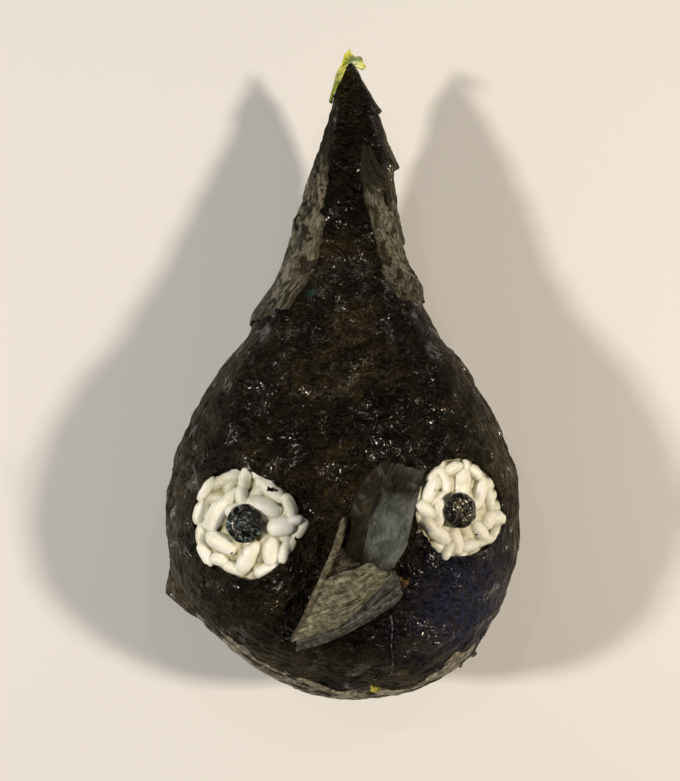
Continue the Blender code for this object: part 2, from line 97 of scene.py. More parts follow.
def only(piece):
    """Selects this piece alone and makes it the active one."""
    bpy.ops.object.select_all(action="DESELECT")
    piece.select_set(True)
    bpy.context.view_layer.objects.active = piece


def modify(piece, kind, **values):
    """Adds a modifier with these values and applies it."""
    only(piece)
    modifier = piece.modifiers.new(kind.title(), kind)
    for name, value in values.items():
        setattr(modifier, name, value)
    bpy.ops.object.modifier_apply(modifier=modifier.name)


def copy_of(source, name):
    """A new object with its own copy of another's mesh."""
    piece = bpy.data.objects.new(name, source.data.copy())
    bpy.context.scene.collection.objects.link(piece)
    piece.data.materials.clear()
    return piece


def merged_copy(node, name):
    """A copy of a CAD node's mesh with its loose triangles joined."""
    piece = copy_of(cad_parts[node], name)
    only(piece)
    bpy.ops.object.mode_set(mode="EDIT")
    bpy.ops.mesh.select_all(action="SELECT")
    bpy.ops.mesh.remove_doubles(threshold=0.01 * MM)
    bpy.ops.object.mode_set(mode="OBJECT")
    return piece


def paint(piece, name, rule):
    """Stores a value at each point of a piece, by a rule that takes the point in millimetres."""
    layer = piece.data.attributes.new(name, "FLOAT", "POINT")
    layer.data.foreach_set("value", [rule(vert.co / MM) for vert in piece.data.vertices])


def clamped(value):
    """A value held between 0 and 1."""
    return min(max(value, 0.0), 1.0)


def paint_creases(piece):
    """Stores 1 in the creases of a piece and 0 on its bulges."""
    mesh = piece.data
    values = [vert.co.copy() for vert in mesh.vertices]
    counts = [0] * len(values)
    for edge in mesh.edges:
        for index in edge.vertices:
            counts[index] += 1

    def spread(values):
        sums = [0 * value for value in values]
        for edge in mesh.edges:
            first, second = edge.vertices
            sums[first] += values[second]
            sums[second] += values[first]
        return [total / count for total, count in zip(sums, counts)]

    around = spread(values)
    normals = mesh.vertex_normals
    hollow = [(mean - value).dot(out.vector) for mean, value, out in zip(around, values, normals)]
    for _ in range(2):
        hollow = spread(hollow)
    layer = mesh.attributes.new("crease", "FLOAT", "POINT")
    layer.data.foreach_set("value", [clamped(value / CREASE_DEPTH) for value in hollow])


def joined(pieces):
    """Joins pieces into the first of them."""
    only(pieces[0])
    for piece in pieces[1:]:
        piece.select_set(True)
    bpy.ops.object.join()
    return pieces[0]


def drop_form():
    """The closed drop: wrap and rice as one solid, smoothed."""
    rice = merged_copy("rice", "rice_form")
    modify(rice, "DISPLACE", strength=RICE_SWELL, mid_level=0.0)
    drop = joined([merged_copy("nori_wrap", "drop"), rice])
    modify(drop, "REMESH", mode="VOXEL", voxel_size=DROP_VOXEL)
    modify(drop, "SMOOTH", factor=0.5, iterations=6)
    for vert in drop.data.vertices:
        beyond = max(0.0, vert.co.y - TIP_START)
        vert.co.y += TIP_STRETCH * beyond
        vert.co.x *= 1 - TIP_TAPER * beyond / MM
    return drop


def surface_frame(form, x, y, around):
    """Matrix on top of a form at a point of the plan: Z out of it, X level.

    The place and the normal are means over a ring of radius around.
    """
    bpy.context.view_layer.update()
    place, normal = Vector(), Vector()
    for i in range(RING_SPOTS):
        turn = 2 * math.pi * i / RING_SPOTS
        spot = Vector((x + around * math.cos(turn), y + around * math.sin(turn), HIGH_ABOVE))
        _, hit, out, _ = form.ray_cast(spot, Vector((0, 0, -1)))
        place += hit / RING_SPOTS
        normal += out
    normal.normalize()
    level = (Vector((1, 0, 0)) - normal * normal.x).normalized()
    turned = Matrix((level, normal.cross(level), normal)).transposed().to_4x4()
    return Matrix.Translation(place) @ turned


def eye_frame(form, eye):
    """Matrix at an eye's middle, raised to the crown that the ring round the eye leaves out."""
    return surface_frame(form, *eye["at"], around=eye["radius"] + RING_MARGIN)


def grain():
    """One boiled grain, a unit long: plump, blunt at both ends, with a nick where the germ was."""
    turned = (0, math.pi / 2, 0)
    bpy.ops.mesh.primitive_uv_sphere_add(segments=20, ring_count=16, radius=0.5, rotation=turned)
    piece = bpy.context.object
    bpy.ops.object.transform_apply(location=False, rotation=True, scale=False)
    for vert in piece.data.vertices:
        x, y, z = vert.co
        ring = math.hypot(y, z)
        if ring > 0.001:
            full = 0.5 * max(0.0, 1 - abs(2 * x) ** 3.2) ** (1 / 2.3) / ring
            nick = 1 - (0.3 if y > 0 else 0.0) * math.exp(-(((x - 0.36) / 0.1) ** 2))
            vert.co = (x, y * full * nick + 0.09 * (0.25 - x * x), z * full)
    return piece


def eye_rice(side, form):
    """The rice that shows in one eye: a plug with deep grains, then top grains, melted together."""
    eye = EYES[side]
    place = eye_frame(form, eye)
    draw = random.Random(eye["seed"])
    radius = eye["radius"] + EYE_MARGIN
    bpy.ops.mesh.primitive_cylinder_add(vertices=48, radius=radius, depth=EYE_DEPTH)
    plug = bpy.context.object
    plug.name = f"{side}_eye_rice"
    plug.data.transform(place @ Matrix.Translation((0, 0, -0.5 * EYE_DEPTH - EYE_SINK)))
    crown = radius**2 / (2 * EYE_CURVE)
    one = grain()
    parts = [plug]

    def lay(x, y, size, yaw, sink):
        fall = crown * (1 - (x * x + y * y) / radius**2)
        pitch = Matrix.Rotation(draw.uniform(-0.13, 0.13), 4, "Y")
        roll = Matrix.Rotation(draw.uniform(-0.3, 0.3), 4, "X")
        matrix = Matrix.Translation((x, y, fall - sink)) @ Matrix.Rotation(yaw, 4, "Z") @ pitch @ roll
        laid = copy_of(one, "grain")
        laid.data.transform(place @ matrix @ Matrix.Diagonal((*size, 1)))
        parts.append(laid)

    for x, y, length, width, yaw in TOP_GRAINS[side]:
        thick = GRAIN_THICKNESS * draw.uniform(0.9, 1.08)
        sink = GRAIN_SINK + draw.uniform(-0.25, 0.35) * MM
        lay(x * MM, y * MM, (length * MM, width * MM, thick), math.radians(yaw), sink)
    for i in range(DEEP_GRAINS):
        far = math.sqrt((i + 0.5) / DEEP_GRAINS) * (eye["radius"] - 0.2 * MM)
        turn = i * math.pi * (3 - math.sqrt(5))
        size = DEEP_GRAIN_SIZE * draw.uniform(0.85, 1.1)
        spot = (far * math.cos(turn), far * math.sin(turn))
        lay(*spot, size, draw.uniform(0, math.pi), draw.uniform(1.6, 2.5) * MM)
    bpy.data.objects.remove(one)
    rice = joined(parts)
    modify(rice, "REMESH", mode="VOXEL", voxel_size=EYE_VOXEL)
    modify(rice, "SMOOTH", factor=0.5, iterations=1)
    inverse = place.inverted()

    def depth(point):
        x, y, z = inverse @ (point * MM) / MM
        return (crown / MM * (1 - (x * x + y * y) * MM**2 / radius**2) - z) / DARK_DEPTH

    # Depth and creases feed the rice's painted shade.
    paint(rice, "depth", depth)
    paint_creases(rice)
    return rice


drop = drop_form()
rice_core = copy_of(drop, "rice_core")
modify(rice_core, "DISPLACE", strength=-CORE_INSET, mid_level=0.0)
modify(rice_core, "REMESH", mode="VOXEL", voxel_size=CORE_VOXEL)
modify(rice_core, "SMOOTH", factor=0.5, iterations=4)
# The core shows only between the grains, so all of it takes the painted shade tone.
paint(rice_core, "depth", lambda point: 1.0)
rice_pieces = [rice_core, eye_rice("left", drop), eye_rice("right", drop)]


def finish(name):
    """A new material, its node tree and its main shader."""
    material = bpy.data.materials.new(name)
    material.use_nodes = True
    return material, material.node_tree, material.node_tree.nodes["Principled BSDF"]


def node(tree, kind, inputs=(), **settings):
    """Adds a shader node.  inputs maps a socket's name or number to a value or to another socket."""
    made = tree.nodes.new("ShaderNode" + kind)
    for name, value in settings.items():
        setattr(made, name, value)
    for key, value in dict(inputs).items():
        if isinstance(value, bpy.types.NodeSocket):
            tree.links.new(value, made.inputs[key])
        else:
            made.inputs[key].default_value = value
    return made


def noise_of(tree, vector, scale, detail=4.0, roughness=0.6, distortion=0.0):
    """Noise between 0 and 1, its scale in features a metre."""
    values = {"Vector": vector, "Scale": scale, "Detail": detail, "Roughness": roughness}
    values["Distortion"] = distortion
    return node(tree, "TexNoise", values).outputs["Fac"]


def ramp(tree, factor, *stops):
    """Colours, or greys, along a factor: each stop is a position and a colour or a grey."""
    made = node(tree, "ValToRGB", {"Fac": factor})
    elements = made.color_ramp.elements
    while len(elements) < len(stops):
        elements.new(0.5)
    for element, (position, tone) in zip(elements, stops):
        element.position = position
        element.color = (*tone, 1) if isinstance(tone, tuple) else (tone, tone, tone, 1)
    return made.outputs["Color"]


def mixed(tree, factor, first, second):
    """Two colours, or a colour and a colour socket, mixed by a factor."""
    made = node(tree, "Mix", {0: factor}, data_type="RGBA")
    for index, tone in ((6, first), (7, second)):
        if isinstance(tone, bpy.types.NodeSocket):
            tree.links.new(tone, made.inputs[index])
        else:
            made.inputs[index].default_value = (*tone, 1)
    return made.outputs[2]


def maths(tree, operation, *values):
    """The result of one sum on numbers or sockets."""
    return node(tree, "Math", dict(enumerate(values)), operation=operation).outputs[0]


def painted(tree, name):
    """The value that paint stored under a name."""
    return node(tree, "Attribute", attribute_name=name).outputs["Fac"]


def rice_finish():
    """Moist boiled rice: milky, a little see-through, with opaque white hearts in the grains, and painted
    shade below the crown and in creases.
    """
    material, tree, shader = finish("boiled_rice")
    spot = node(tree, "TexCoord").outputs["Object"]
    hearts = noise_of(tree, spot, 330, 3.0, 0.5, 0.6)
    glassy, milk, chalk = (0.72, 0.74, 0.60), (0.86, 0.89, 0.81), (0.93, 0.96, 0.96)
    milky = ramp(tree, hearts, (0.3, glassy), (0.48, milk), (0.66, chalk))
    # Painted shade: darker and more olive deeper below the crown and in the creases between grains.
    shade_below, crease_shade = (0.50, 0.47, 0.29), (0.47, 0.46, 0.29)
    painted_depth_shade = ramp(tree, painted(tree, "depth"), (0.1, 0.0), (0.6, 1.0))
    painted_crease_shade = ramp(tree, painted(tree, "crease"), (0.1, 0.0), (0.9, 0.75))
    tone = mixed(tree, painted_crease_shade, mixed(tree, painted_depth_shade, milky, shade_below), crease_shade)
    tree.links.new(tone, shader.inputs["Base Color"])
    wet = ramp(tree, noise_of(tree, spot, 900, 3.0), (0.35, 0.36), (0.7, 0.6))
    tree.links.new(wet, shader.inputs["Roughness"])
    fine = noise_of(tree, spot, 1500, 4.0)
    bump = node(tree, "Bump", {"Height": fine, "Strength": 0.35, "Distance": 0.12 * MM})
    tree.links.new(bump.outputs["Normal"], shader.inputs["Normal"])
    shader.inputs["Subsurface Weight"].default_value = 0.35
    shader.inputs["Subsurface Radius"].default_value = (1.0, 0.95, 0.8)
    shader.inputs["Subsurface Scale"].default_value = 0.8 * MM
    return material


def dress(piece, material, slot, *nodes):
    """Gives a piece its only material and its body, and hides the CAD nodes it stands for; slot is not used.
    """
    piece.data.materials.clear()
    piece.data.materials.append(material)
    only(piece)
    bpy.ops.object.shade_smooth()
    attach(piece, "root")
    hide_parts(*nodes)


boiled_rice = rice_finish()
for piece in rice_pieces:
    dress(piece, boiled_rice, "rice", "rice")

# The wrap: a large sheet of nori wetted and pressed round the ball, and a second one rolled into the
# cone.  It clings to the rice, so its grains and the folds of the sheet show as relief, and the two
# eyes are cut out of it.
WRAP_VOXEL = 0.56 * MM
WRAP_DEPTH = 1.6 * MM
WET_RELIEF = 1.3 * MM  # the finest wrinkles, which are bump
HOLE_POINTS = 128
HOLE_DEPTH = 9 * MM
# How far each hole reaches from its middle (mm), at equal steps round from the right.
HOLE_REACHES = {
    "left": (
        11.2, 10.9, 10.7, 10.5, 11.2, 12.4, 13.3, 13.3, 13.0, 12.6, 12.6, 11.6, 11.5, 11.0, 10.6, 10.2,
    ),
    "right": (
        11.2, 10.7, 10.4, 10.4, 10.3, 10.3, 10.2, 10.2, 10.4, 10.1, 9.9, 10.7, 10.2, 10.6, 11.3, 11.4,
    ),
}
# The middle line of the body: its height, how far the cone leans right and droops, and where along
# Y the lean and the droop start and over what length they grow (mm).
SPINE_HEIGHT = 26
LEAN = 2.4
LEAN_START = 57
LEAN_RUN = 26
DROOP = 3
DROOP_START = 34
DROOP_RUN = 70
SPINE_END = 100
# The side's look, long wrinkles and a lighter grey-brown that is painted grazing sheen, starts where a point
# faces up less than SIDE_START, with 1 for straight up, and is whole at SIDE_RANGE below that.
SIDE_START = 0.86
SIDE_RANGE = 0.72
# The torn corners down the cone's right side, by where along Y each ends in a step (mm), and the
# pinched corner low on the left.  Angles are in radians about the middle line.
TORN_CORNERS = (93.2, 79.5, 61.5, 51.0)
CORNER_HEIGHT = 0.7
CORNER_RUN = 6.0
CORNER_HALF_ANGLE = 0.4
NOTCH_DEPTH = 0.6
NOTCH_RUN = 2.5
PINCH_Y = -17.0
PINCH_REACH = 2.3
PINCH_HALF_LENGTH = 2.2
PINCH_HALF_ANGLE = 0.16
# Places where the wrap looks different, each with the distance over which that fades (mm); the blue is a
# painted reflection and the pale area has painted glints.
BLUE_REFLECTION_AREA = Vector((25.0, -17.5, 40))
BLUE_REFLECTION_FADE = 12
SHINE_AREA = Vector((1.1, 53.5, 41))
SHINE_FADE = 9
# Where the face's threads turn lighter: painted glints.
PALE_GLINT_AREA = Vector((1, 36, 46))
PALE_GLINT_FADE = 19
TEAL_AREAS = (Vector((-7.5, 49.2, 42)), Vector((7.1, -33.7, 38)))
TEAL_FADE = 1.6


def spine(y):
    """Middle of the body at a distance along Y (mm): the cone leans right and droops."""
    lean = LEAN * clamped((y - LEAN_START) / LEAN_RUN)
    return Vector((lean, y, SPINE_HEIGHT - DROOP * clamped((y - DROOP_START) / DROOP_RUN)))


def steepness(point):
    """0 where the onigiri faces up, 1 where it faces sideways or down."""
    rise = (point - spine(min(max(point.y, 0), SPINE_END))).normalized().z
    return clamped((SIDE_START - rise) / SIDE_RANGE)


def ridged(point):
    """Noise with sharp crests, about 0 in the mean."""
    return 0.45 - 1.6 * abs(noise.noise(point))


def torn_corners(point):
    """Height of the torn and pinched corners at a point (mm): a torn one swells and ends in a notch."""
    off = point - spine(point.y)
    angle = math.atan2(off.z, off.x)
    height = 0.0
    for place in TORN_CORNERS:
        past = point.y - place
        if 0 < past < CORNER_RUN:
            height += CORNER_HEIGHT * (1 - past / CORNER_RUN)
        elif past <= 0:
            height -= NOTCH_DEPTH * math.exp(-((past / NOTCH_RUN) ** 2))
    height *= math.exp(-((angle / CORNER_HALF_ANGLE) ** 2))
    along = (point.y - PINCH_Y) / PINCH_HALF_LENGTH
    across = (abs(angle) - math.pi) / PINCH_HALF_ANGLE
    return height + PINCH_REACH * math.exp(-math.hypot(along, across))


def crumple(piece):
    """Relief of the clinging sheet: lumps of rice, crumpled on the face, long wrinkles at the sides."""
    normals = [normal.vector.copy() for normal in piece.data.vertex_normals]
    for vert, normal in zip(piece.data.vertices, normals):
        point = vert.co / MM
        steep = steepness(point)
        warp = Vector((noise.noise(point / 5), noise.noise(point / 5 + Vector((7, 0, 0))), 0))
        lumps = 0.5 * noise.noise(point / 6.5) + 0.25 * noise.noise(point / 3.2)
        face = 0.4 * ridged(point / 4.2 + warp) + 0.3 * ridged(point / 1.9 + warp)
        flat = Vector((point.x / 17, point.y / 17, point.z / 2.1))
        wrinkles = 0.75 * ridged(flat + 0.5 * warp) + 0.35 * ridged(flat * 2.3 + warp)
        relief = lumps + (1 - steep) * face + steep * wrinkles + torn_corners(point)
        vert.co += normal * relief * MM


def eye_hole(side, form):
    """A prism over one eye, with the outline that the nori was cut to."""
    eye = EYES[side]
    bpy.ops.mesh.primitive_cylinder_add(vertices=HOLE_POINTS, radius=eye["radius"], depth=HOLE_DEPTH)
    prism = bpy.context.object
    reaches = HOLE_REACHES[side]
    for vert in prism.data.vertices:
        turn = math.atan2(vert.co.y, vert.co.x) % (2 * math.pi)
        ring = Vector((math.cos(turn), math.sin(turn), eye["seed"]))
        step = turn / (2 * math.pi) * len(reaches)
        low, high = reaches[int(step) % len(reaches)], reaches[(int(step) + 1) % len(reaches)]
        torn = 0.35 * noise.noise(ring * 4) + 0.3 * noise.noise(ring * 11)
        vert.co.xy = ring.xy * (low + (high - low) * (step % 1) + torn) * MM
    prism.data.transform(eye_frame(form, eye))
    return prism


def cut(piece, tool):
    """Takes one solid away from another."""
    modify(piece, "BOOLEAN", operation="DIFFERENCE", object=tool, solver="MANIFOLD")
    bpy.data.objects.remove(tool)


wrap = copy_of(drop, "wrap")
modify(wrap, "REMESH", mode="VOXEL", voxel_size=WRAP_VOXEL)
modify(wrap, "SMOOTH", factor=0.5, iterations=4)
crumple(wrap)
hollow = copy_of(drop, "hollow")
modify(hollow, "DISPLACE", strength=-WRAP_DEPTH, mid_level=0.0)
modify(hollow, "REMESH", mode="VOXEL", voxel_size=CORE_VOXEL)
cut(wrap, hollow)
for side in EYES:
    cut(wrap, eye_hole(side, drop))


def crinkles(tree, vector, scale, width=0.05):
    """Thin crooked lines: 1 on the line, 0 away from it."""
    field = noise_of(tree, vector, scale, 3.0, 0.6, 1.6)
    return ramp(tree, field, (0.5 - width, 0.0), (0.5, 1.0), (0.5 + width, 0.0))


def shine_on(tree, shader, heights, distance, rough, spot, film=None, gloss=0.08):
    """Bump, an uneven dampness and small glossy films of water, which every nori finish has."""
    damp = noise_of(tree, spot, 330, 4.0, 0.65)
    film = film or ramp(tree, damp, (0.41, 0.5), (0.47, 0.0))
    tree.links.new(ramp(tree, damp, (0.36, rough[0]), (0.62, rough[1])), shader.inputs["Roughness"])
    bump = node(tree, "Bump", {"Height": heights, "Strength": 1.0, "Distance": distance})
    tree.links.new(bump.outputs["Normal"], shader.inputs["Normal"])
    tree.links.new(bump.outputs["Normal"], shader.inputs["Coat Normal"])
    tree.links.new(film, shader.inputs["Coat Weight"])
    shader.inputs["Coat Roughness"].default_value = gloss
    shader.inputs["Specular IOR Level"].default_value = 0.08


def wet_finish():
    """The wrap: black-brown and crinkled on the face, wrinkled round the sides with a grey-brown that is
    painted grazing sheen.
    """
    material, tree, shader = finish("wet_nori")
    spot = node(tree, "TexCoord").outputs["Object"]
    flat = node(tree, "Mapping", {"Vector": spot, "Scale": (1, 1, 6)}).outputs["Vector"]
    steep = painted(tree, "steep")
    fine = noise_of(tree, spot, 900, 6.0, 0.72, 0.9)
    patches = noise_of(tree, spot, 110, 3.0, 0.6, 0.6)
    grainy = maths(tree, "MULTIPLY", fine, patches)
    lines = maths(tree, "MAXIMUM", crinkles(tree, spot, 300), crinkles(tree, spot, 700))
    threads = maths(tree, "MULTIPLY", lines, grainy)
    dark, brown, olive = (0.0015, 0.001, 0.0004), (0.0072, 0.0048, 0.0014), (0.025, 0.0165, 0.005)
    face = ramp(tree, grainy, (0.2, dark), (0.3, brown), (0.42, olive))
    thread, fleck = (0.075, 0.056, 0.026), (0.12, 0.096, 0.055)
    face = mixed(tree, ramp(tree, threads, (0.24, 0.0), (0.44, 0.5)), face, thread)
    # Lighter threads on the upper face: painted glints.
    flecked = maths(tree, "MULTIPLY", painted(tree, "pale"), threads)
    face = mixed(tree, ramp(tree, flecked, (0.14, 0.0), (0.36, 0.55)), face, fleck)
    # The sides: long streaks and folds, lighter grey-brown as painted grazing sheen.
    streaks = noise_of(tree, flat, 150, 6.0, 0.7, 1.6)
    pocket, flank_sheen, crest_sheen = (0.004, 0.0033, 0.002), (0.024, 0.020, 0.0115), (0.125, 0.108, 0.068)
    side = ramp(tree, streaks, (0.38, pocket), (0.5, flank_sheen), (0.66, crest_sheen))
    folds = crinkles(tree, flat, 130, 0.04)
    pale = (0.18, 0.16, 0.11)
    side = mixed(tree, ramp(tree, folds, (0.3, 0.0), (1.0, 0.6)), side, pale)
    patchy = ramp(tree, patches, (0.36, 0.35), (0.52, 1.0))
    side_sheen = maths(tree, "MULTIPLY", ramp(tree, steep, (0.3, 0.0), (0.9, 1.0)), patchy)
    tone = mixed(tree, side_sheen, face, side)
    # Painted reflection: bluish specks where a blue light shows in the wet nori, low on the right.
    blue_reflection = maths(tree, "MULTIPLY", painted(tree, "blue_reflection"), ramp(tree, fine, (0.46, 0.15), (0.58, 1.0)))
    bluish, teal = (0.019, 0.027, 0.085), (0.02, 0.09, 0.10)
    tone = mixed(tree, maths(tree, "MULTIPLY", blue_reflection, 0.9), tone, bluish)
    tone = mixed(tree, ramp(tree, painted(tree, "teal"), (0.2, 0.0), (0.8, 0.8)), tone, teal)
    tree.links.new(tone, shader.inputs["Base Color"])
    crisp = noise_of(tree, spot, 620, 1.0, 0.5, 0.8)
    wrinkles = noise_of(tree, flat, 150, 1.5, 0.6, 1.6)
    both = node(tree, "Mix", {0: steep, 2: crisp, 3: wrinkles}).outputs[0]
    pools = noise_of(tree, spot, 240, 2.5, 0.5, 0.5)
    wetness = maths(tree, "MULTIPLY_ADD", painted(tree, "shine"), 0.15, pools)
    lit_lines = node(tree, "Mix", {0: steep, 2: lines, 3: folds}).outputs[0]
    on_lines = maths(tree, "MULTIPLY", lit_lines, ramp(tree, wetness, (0.49, 0.0), (0.58, 0.65)))
    film = maths(tree, "MAXIMUM", on_lines, ramp(tree, wetness, (0.60, 0.0), (0.63, 1.0)))
    shine_on(tree, shader, both, WET_RELIEF, (0.38, 0.62), spot, film, 0.12)
    return material


def near(middle, fade):
    """A rule for paint: 1 at a place, fading over a distance (mm)."""
    return lambda point: math.exp(-((point - middle).length_squared) / fade**2)


paint(wrap, "steep", steepness)
paint(wrap, "blue_reflection", near(BLUE_REFLECTION_AREA, BLUE_REFLECTION_FADE))
paint(wrap, "shine", near(SHINE_AREA, SHINE_FADE))
paint(wrap, "pale", near(PALE_GLINT_AREA, PALE_GLINT_FADE))
paint(wrap, "teal", lambda point: max(near(area, TEAL_FADE)(point) for area in TEAL_AREAS))
dress(wrap, wet_finish(), "nori", "nori_wrap")

# The loose layers: where sheets of nori end they lie over one another.  Two folded strips run down
# the cone with their rough side out, a hem goes round its foot, and a band closes the ball below.
# All are the same damp sheet, pressed on, with torn edges.
SHEET_THICKNESS = 0.35 * MM
FIBRE_RELIEF = 0.4 * MM
OUTSIDE = 90  # far enough from the middle line (mm) to be clear of the onigiri
# Each strip by stations down the cone: distance along Y (mm), first and last angle (degrees).
STRIPS = {
    "right_strip": (
        (84, 62, 76), (76, 34, 74), (69, 8, 66), (58, 0, 56), (51, 4, 54), (46, 14, 50),
    ),
    "left_strip": (
        (94, 146, 176), (84, 134, 176), (75, 123, 178), (66, 117, 178), (56, 116, 180), (45, 127, 186),
    ),
}
# The hem and the band, by first angle and turn (degrees), and their edges along Y or in height (mm).
HEM_START = 136
HEM_TURN = 278
HEM_Y = 45.5
HEM_WIDTH = 11
BAND_START = 211
BAND_TURN = 105
BAND_FOOT = 13
BAND_TOP = 41


def sheet(name, across, along, place):
    """A sheet of small faces laid out by place(u, v), with u and v from 0 to 1."""
    bpy.ops.mesh.primitive_grid_add(x_subdivisions=across, y_subdivisions=along, size=1)
    piece = bpy.context.object
    piece.name = name
    for vert in piece.data.vertices:
        vert.co = place(vert.co.x + 0.5, vert.co.y + 0.5)
    return piece


def mend(piece, closed=False):
    """Joins doubled points, caps the open ends of a tube and turns all faces outwards."""
    only(piece)
    bpy.ops.object.mode_set(mode="EDIT")
    bpy.ops.mesh.select_all(action="SELECT")
    bpy.ops.mesh.remove_doubles(threshold=0.01 * MM)
    if closed:
        bpy.ops.mesh.fill_holes(sides=0)
    bpy.ops.mesh.normals_make_consistent(inside=False)
    bpy.ops.object.mode_set(mode="OBJECT")


def thicken(piece, thickness):
    """Turns an open sheet into a closed thin solid."""
    modify(piece, "SOLIDIFY", thickness=thickness, offset=0.0)
    mend(piece)


def through(points, share):
    """Part of the way along a smooth curve through points."""
    place = share * (len(points) - 1)
    index = min(int(place), len(points) - 2)
    t = place - index
    first, second = points[index], points[index + 1]
    before, after = points[max(index - 1, 0)], points[min(index + 2, len(points) - 1)]
    bend = 2 * before - 5 * first + 4 * second - after
    twist = 3 * (first - second) + after - before
    return 0.5 * (2 * first + (second - before) * t + bend * t**2 + twist * t**3)


def touch(start, out, lift):
    """Point on the drop met on the way in to start from along out, raised off the drop by lift."""
    found, hit, normal, _ = drop.ray_cast(start + out * OUTSIDE * MM, -out)
    return hit + normal * lift if found else start


def on_body(y, angle, lift):
    """Point on the drop at y (mm) and at an angle about its long axis, up from +X."""
    return touch(spine(y) * MM, Vector((math.cos(angle), 0, math.sin(angle))), lift)


def waver(*spot):
    """Smooth noise at a spot given by up to three numbers."""
    return noise.noise(Vector((*spot, 0, 0)[:3]))


def strip_place(name, u, v):
    """A folded strip on the cone, with long folds and torn edges that sink in here and there."""
    seed = len(name)
    y, first, last = through([Vector(station) for station in STRIPS[name]], v)
    torn = 5 * waver(v * 5, seed) + 2 * waver(v * 17, seed, 4)
    angle = first + (last - first) * u + torn * (2 * u - 1)
    wide = ridged(Vector((u * 3.5 + v, v * 5, seed)))
    fine = ridged(Vector((u * 8 + v, v * 15, seed)))
    swell = max(math.sin(math.pi * u), 0) ** 0.5 * max(math.sin(math.pi * v), 0) ** 0.5
    lift = 0.5 * waver(u * 2, v * 9, seed) - 0.2 + swell * (0.7 + wide + 0.7 * fine)
    return on_body(y, math.radians(angle), lift * MM)


def hem_place(u, v):
    """The foot of the cone's sheet, from the left of the face round the back to its right."""
    angle = math.radians(HEM_START + HEM_TURN * u)
    ring = Vector((math.cos(angle), math.sin(angle), 0))
    torn = 1.3 * noise.noise(ring * 2) + 0.9 * noise.noise(ring * 9)
    y = HEM_Y + 2.6 * ring.x + torn * (1 - v) + HEM_WIDTH * v
    ends = min(1.0, 9 * u, 9 * (1 - u))
    pleats = ridged(Vector((ring.x * 7, ring.y * 7, v)))
    lift = (0.2 + 0.75 * (1 - v) + 0.4 * pleats * math.sin(math.pi * v)) * ends - 0.35 * (1 - ends)
    return on_body(y, angle, (lift if v < 0.98 else -0.3) * MM)


def band_place(u, v):
    """The band low on the ball, from the torn corner on the left round below to the right."""
    turn = math.radians(BAND_START + BAND_TURN * u)
    top = BAND_TOP - 3 * u + 4 * waver(u * 6, 9) + 1.5 * waver(u * 21, 2)
    height = (BAND_FOOT + (top - BAND_FOOT) * v) * MM
    wrinkles = ridged(Vector((u * 7 + v, v * 6, 1))) + 0.6 * ridged(Vector((u * 13 + v, v * 17, 7)))
    ends = math.sin(math.pi * u) ** 0.4 if 0 < u < 1 else 0
    lift = (0.45 + 0.75 * wrinkles - 0.5 * v**3) * ends - 0.3 * (1 - ends)
    return touch(Vector((0, 0, height)), Vector((math.cos(turn), math.sin(turn), 0)), lift * MM)


bpy.context.view_layer.update()
strips = [sheet(name, 48, 130, lambda u, v: strip_place(name, u, v)) for name in STRIPS]
bands = [sheet("cone_hem", 200, 22, hem_place), sheet("low_band", 220, 50, band_place)]


def rough_finish(name, tones, along, rough=(0.5, 0.8), speckled=1.0, blend=0.0):
    """The rough side of nori: fibres that follow the sheet, in three tones.

    With blend set, a sheet darkens to the wet wrap's tone at its long edges and its top, and gets painted
    shade in the pockets of its folds and painted highlights along their winding crests.
    """
    material, tree, shader = finish(name)
    spot = node(tree, "TexCoord").outputs["Object"]
    sheet_spot = node(tree, "TexCoord").outputs["UV"]
    run = node(tree, "Mapping", {"Vector": sheet_spot, "Scale": (*along, 1)}).outputs["Vector"]
    fibres = noise_of(tree, run, 1.0, 6.0, 0.7, 0.9)
    speckle = noise_of(tree, spot, 800, 4.0, 0.7)
    flecked = maths(tree, "MULTIPLY_ADD", speckle, speckled, 0.5 * (1 - speckled))
    both = maths(tree, "MULTIPLY", fibres, flecked)
    tone = ramp(tree, both, (0.14, tones[0]), (0.24, tones[1]), (0.37, tones[2]))
    if blend:
        # Winding lines raise the relief and carry painted highlights on the fold crests.
        winding = node(tree, "Mapping", {"Vector": sheet_spot, "Scale": (7, 6, 1)}).outputs["Vector"]
        crest_highlights_and_relief = crinkles(tree, winding, 1.0, 0.06)
        tone = mixed(tree, maths(tree, "MULTIPLY", crest_highlights_and_relief, 0.85), tone, tones[2])
        both = maths(tree, "MULTIPLY_ADD", crest_highlights_and_relief, 0.3, both)
        place = node(tree, "SeparateXYZ", {0: sheet_spot}).outputs
        off = maths(tree, "ABSOLUTE", maths(tree, "SUBTRACT", place["X"], 0.5))
        edge = ramp(tree, maths(tree, "MULTIPLY_ADD", fibres, 0.3, off), (0.52, 0.0), (0.68, 1.0))
        # Pockets of painted shade in the hollows of the folds.
        wide = node(tree, "Mapping", {"Vector": sheet_spot, "Scale": (5, 11, 1)}).outputs["Vector"]
        pocket_shade = ramp(tree, noise_of(tree, wide, 1.0, 3.0, 0.6, 1.2), (0.42, 1.0), (0.5, 0.0))
        top = ramp(tree, maths(tree, "MULTIPLY_ADD", fibres, -0.6, place["Y"]), (-0.3, 1.0), (-0.05, 0.0))
        dark = maths(tree, "MAXIMUM", maths(tree, "MAXIMUM", edge, pocket_shade), top)
        wet = (0.012, 0.009, 0.005)
        tone = mixed(tree, maths(tree, "MULTIPLY", dark, blend), tone, wet)
    tree.links.new(tone, shader.inputs["Base Color"])
    shine_on(tree, shader, both, FIBRE_RELIEF, rough, spot)
    return material


